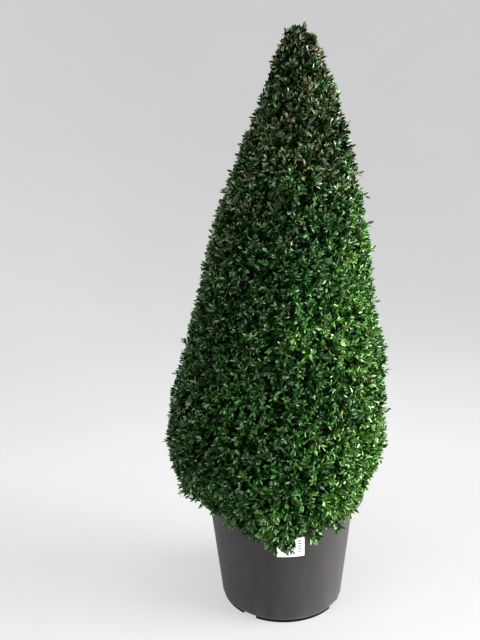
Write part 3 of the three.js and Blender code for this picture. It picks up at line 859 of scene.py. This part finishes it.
brownTwig = bark("brownTwig", (0.22, 0.17, 0.11, 1), (0.09, 0.066, 0.042, 1), 500.0)
greenTwig = bark("greenTwig", (0.10, 0.13, 0.04, 1), (0.05, 0.07, 0.022, 1), 500.0)

hand(tubes("branches", leaning(branchPaths), branches, 6, brownTwig), "bark")
hand(tubes("twigs", leaning(twigPaths), twigs, 4, brownTwig), "bark")


# ---- leafy sprays

sprays = {
    "count": 7700, "lowest": 0.214, "depth": 0, "firstTurn": 0.9, "stand": 0.0075, "uneven": 0.0062,
    "sprigs": 0.062, "sprigReach": 0.016, "pairs": 6, "waverTurn": 0.6, "waverRise": 0.5, "leafScale": 1.0,
    "oldAndShadedBelow": 3.0, "youngFrom": 4.4, "seed": 21,
    "topSprigs": [
        (0.0115, -0.002, 1.087), (-0.0185, 0.004, 1.081), (0.0, 0.011, 1.064), (-0.006, -0.012, 1.062),
        (0.019, 0.006, 1.072), (0.021, -0.010, 1.069), (-0.0195, -0.008, 1.064), (-0.014, 0.013, 1.062),
        (0.004, 0.017, 1.060), (0.0, -0.018, 1.060), (0.030, -0.004, 1.065), (0.035, 0.004, 1.059),
        (0.033, -0.014, 1.057), (-0.027, -0.004, 1.056), (-0.024, 0.009, 1.060), (0.040, -0.006, 1.050),
        (0.045, 0.002, 1.039), (0.043, -0.012, 1.035)],
    "topDraw": (0.5, 0.5, 1.0), "topDrop": (0, 0, 0.036), "topSplay": (2.0, 2.0, 0.0), "topAim": (0, 0, 0.2),
}
shaded = {  # the old leaves that close the crown behind its face
    "count": 1500, "lowest": 0.232, "depth": 0.033, "firstTurn": 2.3, "uneven": 0.006, "pairs": 5,
    "waverTurn": 0.9, "waverRise": 0.8, "leafScale": 1.55, "oldAndShadedBelow": 2.0, "youngFrom": 4.0,
}
shoot = {
    "radius": 0.0006, "tip": 0.00035, "firstPair": 0.34, "pairShape": 0.9, "bow": 0.45, "scatter": 0.002,
    "under": 0.006, "turnLuck": 0.03, "heightLuck": 0.004, "pairLuck": 1.1,
}
leaf = {
    "length": 0.0123, "width": 0.0047, "footOut": 0.0005,
    "rows": (0.0, 0.28, 0.70, 1.0), "halfWidths": (0.0, 0.46, 0.43, 0.0), "arch": (0.0, 0.02, 0.01, -0.05),
    "ridge": 0.12, "openBase": 74, "openTip": 26, "openShape": 1.5, "tipScale": 0.70, "tipShape": 2.2,
    "toLight": 0.12, "lightRise": 0.9, "tumble": 0.55,
    "pairTurnLuck": 0.3, "leafTurnLuck": 0.25, "openLuck": 0.28, "sizeLuck": 0.14, "widthLuck": 0.10,
    "lowScale": 0.18, "lowRange": (0.26, 0.56), "topScale": 0.20, "topRange": (0.70, 0.98),
}


def makeLeaf():
    # a grid four points long and three wide, drawn in to the leaf's outline and folded along its middle
    letGo()
    bpy.ops.mesh.primitive_grid_add(x_subdivisions=3, y_subdivisions=2, size=1, location=(0.5, 0, 0))
    piece, aside = settle(newest("leafBlade")), 10
    for row, (share, half, arch) in enumerate(zip(leaf["rows"], leaf["halfWidths"], leaf["arch"])):
        before = row / 3
        pickVertices(piece, lambda place: abs(place.x - before) < 1e-4)
        bpy.ops.transform.resize(value=(1, max(2 * half, 1e-3), 1), center_override=(before, 0, 0))
        # rows that are done stand aside, so that the next row is found by its old place
        bpy.ops.transform.translate(value=(share - before + aside, 0, arch))
    pickVertices(piece, lambda place: True)
    bpy.ops.transform.translate(value=(-aside, 0, 0))
    pickVertices(piece, lambda place: abs(place.y) < 1e-4 and 0.1 < place.x < 0.9)
    bpy.ops.transform.translate(value=(0, 0, leaf["ridge"]))
    pickVertices(piece, lambda place: True)
    bpy.ops.mesh.remove_doubles(threshold=0.01)
    pickVertices(piece, lambda place: abs(place.y) < 1e-4)
    bpy.ops.mesh.edge_split(type="EDGE")
    letGo()
    return cornersAndFaces(piece)


blade, bladeFaces = makeLeaf()
print("leaf blade:", len(blade), "corners,", len(bladeFaces), "faces")

# what the foliage keeps clear of: the pot, up to its rim, and what is seen of the sticker
clearance = 0.0012
stickerView = {"left": 0.0145, "right": 0.036, "top": 0.187, "wall": -0.143, "slant": 0.59}


def inTheWay(places):  # places in the pot's frame
    x, y, z = places[..., 0], places[..., 1], places[..., 2]
    radius = np.hypot(x, y)
    underRim = pot["height"] - pot["rimDrop"] - 0.001
    wall = np.where(z > underRim, pot["rimRadius"], wallRadius(z)) + clearance
    inPot = (z < pot["height"] + clearance) & (radius < wall)
    overSticker = ((x > stickerView["left"]) & (x < stickerView["right"]) & (y < 0)
                   & (z < stickerView["top"] + stickerView["slant"] * (stickerView["wall"] - y)))
    return inPot | overSticker


def growSprays(kind, turn, height, root, tip, aim):
    # each spray is a shoot with opposite pairs of leaves, each pair a quarter turn from the one below
    reach = np.linalg.norm(tip - root, axis=1, keepdims=True)
    bend = tip - aim * shoot["bow"] * reach
    paths = curveThrough(root, bend, tip, 3)
    kept = ~inTheWay(leaning(paths)).any(axis=1)
    turn, height, root, bend, tip, paths = (part[kept] for part in (turn, height, root, bend, tip, paths))
    count, pairs = len(turn), kind["pairs"]
    print("sprays:", count, "of", len(kept))
    upShoot = np.linspace(0, 1, pairs)
    share = (shoot["firstPair"] + (1 - shoot["firstPair"]) * upShoot ** shoot["pairShape"])[None, :, None]
    nodes = curveAt(share, root, bend, tip)
    forward = unit((1 - share) * (bend - root)[:, None] + share * (tip - bend)[:, None])
    side = squareTo(forward)[:, :, None]
    forward = forward[:, :, None]
    other = np.cross(forward, side)
    perLeaf = (count, pairs, 2)
    spin = (rng.random((count, 1)) * np.pi + np.arange(pairs)[None] * np.pi / 2
            + luck(leaf["pairTurnLuck"], (count, pairs)))
    spin = (spin[..., None] + np.array([0, np.pi]) + luck(leaf["leafTurnLuck"], perLeaf))[..., None]
    out = np.cos(spin) * side + np.sin(spin) * other
    closing = (leaf["openTip"] - leaf["openBase"]) * upShoot ** leaf["openShape"]
    opening = np.radians(leaf["openBase"] + closing)
    opening = (opening[None, :, None] + luck(leaf["openLuck"], perLeaf))[..., None]
    along = np.cos(opening) * forward + np.sin(opening) * out
    face = np.sin(opening) * forward - np.cos(opening) * out
    # each blade tumbles a little, and rolls part of the way towards the light
    light = unit(polar(1.0, turn, np.full(count, leaf["lightRise"])))[:, None, None]
    wanted = light - (light * along).sum(-1, keepdims=True) * along
    face = unit(face + leaf["toLight"] * wanted + luck(leaf["tumble"], face.shape))
    face = unit(face - (face * along).sum(-1, keepdims=True) * along)
    across = np.cross(face, along)
    size = kind["leafScale"] * (1 + (leaf["tipScale"] - 1) * upShoot ** leaf["tipShape"])
    # the leaves are smaller half way up
    larger = (1 + leaf["lowScale"] * (1 - smoothstep(height, *leaf["lowRange"]))
              + leaf["topScale"] * smoothstep(height, *leaf["topRange"]))
    size = size[None, :, None] * larger[:, None, None] * (1 + luck(leaf["sizeLuck"], perLeaf))
    bladeLength = (leaf["length"] * size)[..., None, None]
    bladeWidth = (leaf["width"] * size * (1 + luck(leaf["widthLuck"], perLeaf)))[..., None, None]
    foot = nodes[:, :, None] + out * leaf["footOut"]
    leaves = (foot[..., None, :] + blade[:, 0, None] * bladeLength * along[..., None, :]
              + blade[:, 1, None] * bladeWidth * across[..., None, :]
              + blade[:, 2, None] * bladeWidth * face[..., None, :])
    return {"turn": turn, "height": height, "tip": tip, "paths": paths, "leaves": leaning(leaves)}


rng = np.random.default_rng(sprays["seed"])


def aimSprays(kind):
    # each spray's place on the face or behind it, and which way it grows
    count, depth = kind["count"], kind["depth"]
    highest = crown["top"] - shoot["under"] - depth
    turn, height = faceTargets(count, kind["lowest"], highest, kind["firstTurn"])
    turn = turn + luck(shoot["turnLuck"], count)
    height = height + luck(shoot["heightLuck"], count)
    waverTurn, waverRise = (luck(kind[waver], count) for waver in ("waverTurn", "waverRise"))
    return turn, height, crownPoint(turn, height, depth), growth(turn, height, waverTurn, waverRise)


turn, height, target, aim = aimSprays(sprays)
count = sprays["count"]
nearTwig = nearest(target, twigEnd)
sprigs = rng.random(count) < sprays["sprigs"]
stand = (sprays["stand"] - twigPush[nearTwig] + np.abs(luck(sprays["uneven"], count))
         - sprigs * sprays["sprigReach"] * rng.random(count))
tip = target - aim * stand[:, None]
root = twigEnd[nearTwig] + luck(shoot["scatter"], (count, 3))
# upright sprigs close the tip, and a few stand over it
topTip = np.array(sprays["topSprigs"])
upright = (np.arctan2(topTip[:, 0], -topTip[:, 1]), topTip[:, 2],
           topTip * sprays["topDraw"] - sprays["topDrop"], topTip,
           unit(topTip * sprays["topSplay"] + sprays["topAim"]))
outer = growSprays(sprays, *map(np.concatenate, zip((turn, height, root, tip, aim), upright)))

turn, height, target, aim = aimSprays(shaded)
tip = target - aim * np.abs(luck(shaded["uneven"], shaded["count"]))[:, None]
twigMiddles = twigPaths[:, 2:4].reshape(-1, 3)
behind = growSprays(shaded, turn, height, twigMiddles[nearest(target, twigMiddles)], tip, aim)

shootPaths = leaning(np.concatenate([outer["paths"], behind["paths"]]))
hand(tubes("shootStems", shootPaths, shoot, 3, greenTwig), "foliage")


# ---- leaves, dealt out to pieces by tint

def leafSkin(name, tint, specular, roughness):
    # a plain colour; the gloss and the blade's fine unevenness are what vary
    made, tree = newMaterial(name)
    sheen = useGroup(tree, mottle, Scale=160.0)["Mask"]
    return finishMaterial(made, {"Base Color": (*tint, 1), "Specular IOR Level": specular}, sheen,
                          (roughness - 0.06, roughness + 0.1), {"Scale": 420.0, "Detail": 2.0}, 0.35, 0.0006)


# tints go by spray: patches over the crown, greyer and browner at the top; fresher and brighter to the right,
# which is painted light on the side the key lamp lights
tints = {  # of old, grown and young leaves; the old ones, low on each shoot and deeper in the crown, are darker partly by age and partly as painted shade
    "Deep": [(0.0052, 0.027, 0.0036), (0.019, 0.056, 0.012), (0.038, 0.082, 0.025)],
    "Dark": [(0.0068, 0.037, 0.0044), (0.026, 0.079, 0.0158), (0.047, 0.100, 0.031)],
    "Mid": [(0.0115, 0.055, 0.0064), (0.037, 0.105, 0.0214), (0.060, 0.133, 0.038)],
    "Fresh": [(0.020, 0.078, 0.009), (0.074, 0.172, 0.035), (0.150, 0.248, 0.086)],
    "Grey": [(0.0084, 0.024, 0.006), (0.031, 0.051, 0.0225), (0.066, 0.095, 0.050)],
    "Olive": [(0.015, 0.027, 0.0052), (0.044, 0.056, 0.018), (0.084, 0.098, 0.037)],
    "Dry": [(0.060, 0.042, 0.018), (0.120, 0.090, 0.040), (0.210, 0.175, 0.090)],
    "Shaded": [(0.0075, 0.048, 0.0037), (0.013, 0.080, 0.006), (0.022, 0.110, 0.010)],
}
gloss = {"speculars": [0.14, 0.64, 0.70], "roughness": [0.50, 0.46, 0.44]}
patches = {
    "shift": (2.15, 4.64, -2.75), "wide": 9.0, "wideShare": 0.80, "close": 27.0, "closeShare": 0.56,
    "paintedLitSide": 0.72, "paintedLitSideTop": 0.40, "tipShare": 0.5, "top": -0.56, "low": 0.38, "luck": 0.13,
    "topRange": (0.64, 0.98), "tipRange": (1.00, 1.06), "lowRange": (0.24, 0.50),
    "steps": [-0.50, 0.10, 0.62], "pieceLimit": 24000,
}
oddShares = {  # base, more of them at the top, more on the side painted as lit
    "Grey": (0.08, 0.36, -0.08), "Olive": (0.02, 0.40, 0.0), "Dry": (0.002, 0.004, 0.0)}
families = list(tints)


def dealFamilies(grown):
    turn, height, tip = grown["turn"], grown["height"], grown["tip"]
    count = len(turn)
    shifted = [Vector(place) + Vector(patches["shift"]) for place in tip]
    patch = np.array([patches["wideShare"] * noise.noise(place * patches["wide"])
                      + patches["closeShare"] * noise.noise(place * patches["close"]) for place in shifted])
    topness = (smoothstep(height, *patches["topRange"])
               + patches["tipShare"] * smoothstep(height, *patches["tipRange"]))
    # painted light: the side towards the key lamp, +X, is dealt brighter tints, less so near the top
    paintedLitSide = (np.sin(turn) + 0.05 * np.cos(turn)) * (1 - patches["paintedLitSideTop"] * topness)
    # painted light: the low band is dealt brighter tints, partly for the skirt's fresher growth and partly
    # for the light its leaves catch
    lowness = 1 - smoothstep(height, *patches["lowRange"])
    vigour = (patch + patches["paintedLitSide"] * paintedLitSide + patches["top"] * topness + patches["low"] * lowness
              + luck(patches["luck"], count))
    family = np.digitize(vigour, patches["steps"])
    for name, (base, atTop, onPaintedLitSide) in oddShares.items():
        odd = rng.random(count) < base + atTop * topness + onPaintedLitSide * paintedLitSide
        family = np.where(odd, families.index(name), family)
    return family


def leavesByTint(kind, grown, family):
    # a leaf's shade goes by its pair's place along the shoot: the low pairs are darker, partly by age and
    # partly as painted shade
    leaves = grown["leaves"]
    count, pairs = leaves.shape[:2]
    young = np.arange(pairs)[None, :, None] + luck(shoot["pairLuck"], (count, pairs, 2))
    shade = np.digitize(young, [kind["oldAndShadedBelow"], kind["youngFrom"]])
    clear = ~inTheWay(leaves).any(axis=-1)
    ofFamily = np.broadcast_to(family[:, None, None], shade.shape)
    return leaves[clear], ofFamily[clear], shade[clear]


grownLeaves = [leavesByTint(sprays, outer, dealFamilies(outer)),
               leavesByTint(shaded, behind, np.full(len(behind["turn"]), families.index("Shaded")))]
leaves, ofFamily, shade = (np.concatenate(parts) for parts in zip(*grownLeaves))
print("leaves:", len(leaves))
for name in families:
    skins = [leafSkin(f"leaf{name}{step}", *values) for step, values in enumerate(
        zip(tints[name], gloss["speculars"], gloss["roughness"]))]
    mine = np.flatnonzero(ofFamily == families.index(name))
    # a kind with many leaves is joined into more than one piece
    heaps = np.array_split(mine, math.ceil(len(mine) / patches["pieceLimit"]))
    for number, heap in enumerate(heaps):
        piece = joinedCopies(f"leaves{name}{number + 1}", leaves[heap], bladeFaces, skins, shade[heap])
        first = name == families[0] and number == 0
        hand(piece, "foliage", *(["crown_foliage"] if first else []))


# ---- floor, light and camera

studio = {
    "floorRings": (0, 0.5, 1.2, 2.1), "sweep": 2.6, "sweepSteps": 24, "wallHeight": 3.6, "sides": 96,
    "lampAim": (0, 0, 0.5),
    # the lamps: place, size, power, spread
    "lamps": {
        "key": ((3.3, -0.7, 1.4), 2.6, 135, 80), "fill": ((-2.0, -1.4, 1.5), 1.7, 30, 120),
        "top": ((0.2, -0.3, 2.9), 2.2, 52, 180), "front": ((-0.4, -3.0, 1.1), 2.4, 20, 180),
        "back": ((0.3, 2.4, 2.8), 2.6, 14, 180)},
    "sky": (0.86, 0.87, 0.90), "skyStrength": 0.36, "paper": 0.09, "paperGlow": 0.403,
    "camera": (-0.0757, -1.2060, 0.8022), "pitchDeg": 11.12, "rollDeg": -1.125, "lens": 36.045,
}


def makeBackdrop():
    radius, sweep, steps = studio["floorRings"][-1], studio["sweep"], studio["sweepSteps"]
    profile = [(ring, 0) for ring in studio["floorRings"]]
    for step in range(1, steps + 1):
        turned = step / steps * math.pi / 2
        profile.append((radius + sweep * math.sin(turned), sweep * (1 - math.cos(turned))))
    profile.append((radius + sweep, studio["wallHeight"]))
    piece = lathe("backdrop", [(r, h - 0.0003) for r, h in profile], studio["sides"])
    pale = studio["paper"]
    made, tree = newMaterial("palePaper")
    tone = useGroup(tree, mottle, Scale=1.4, Contrast=0.4,
                    Colour_A=(pale, pale, pale, 1), Colour_B=(pale + 0.02, pale + 0.02, pale + 0.02, 1))
    finishMaterial(made, {
        "Base Color": tone["Colour"], "Specular IOR Level": 0.2, "Emission Color": (1, 1, 1, 1),
        "Emission Strength": studio["paperGlow"]}, tone["Mask"], (0.6, 0.75))
    cover(piece, made, 180)


def addLight(name, place, size, power, spreadDeg):
    lamp = bpy.data.lights.new(name, "AREA")
    lamp.shape, lamp.size, lamp.energy, lamp.spread = "SQUARE", size, power, math.radians(spreadDeg)
    holder = newObject(name, lamp)
    holder.location = place
    holder.rotation_euler = (Vector(studio["lampAim"]) - Vector(place)).to_track_quat("-Z", "Y").to_euler()


makeBackdrop()
for name, lamp in studio["lamps"].items():
    addLight(name + "Light", *lamp)

world = bpy.data.worlds.new("studioAir")
world.use_nodes = True
world.node_tree.nodes["Background"].inputs["Color"].default_value = (*studio["sky"], 1)
world.node_tree.nodes["Background"].inputs["Strength"].default_value = studio["skyStrength"]
bpy.context.scene.world = world
bpy.context.scene.view_settings.view_transform = "Standard"
bpy.context.scene.view_settings.look = "High Contrast"

lens = bpy.data.cameras.new("studioCamera")
lens.lens, lens.sensor_width = studio["lens"], 36.0
camera = newObject("studioCamera", lens)
camera.matrix_world = (Matrix.Translation(studio["camera"])
                       @ Matrix.Rotation(math.radians(90 - studio["pitchDeg"]), 4, "X")
                       @ Matrix.Rotation(math.radians(studio["rollDeg"]), 4, "Z"))
bpy.context.scene.camera = camera
print("studio set")
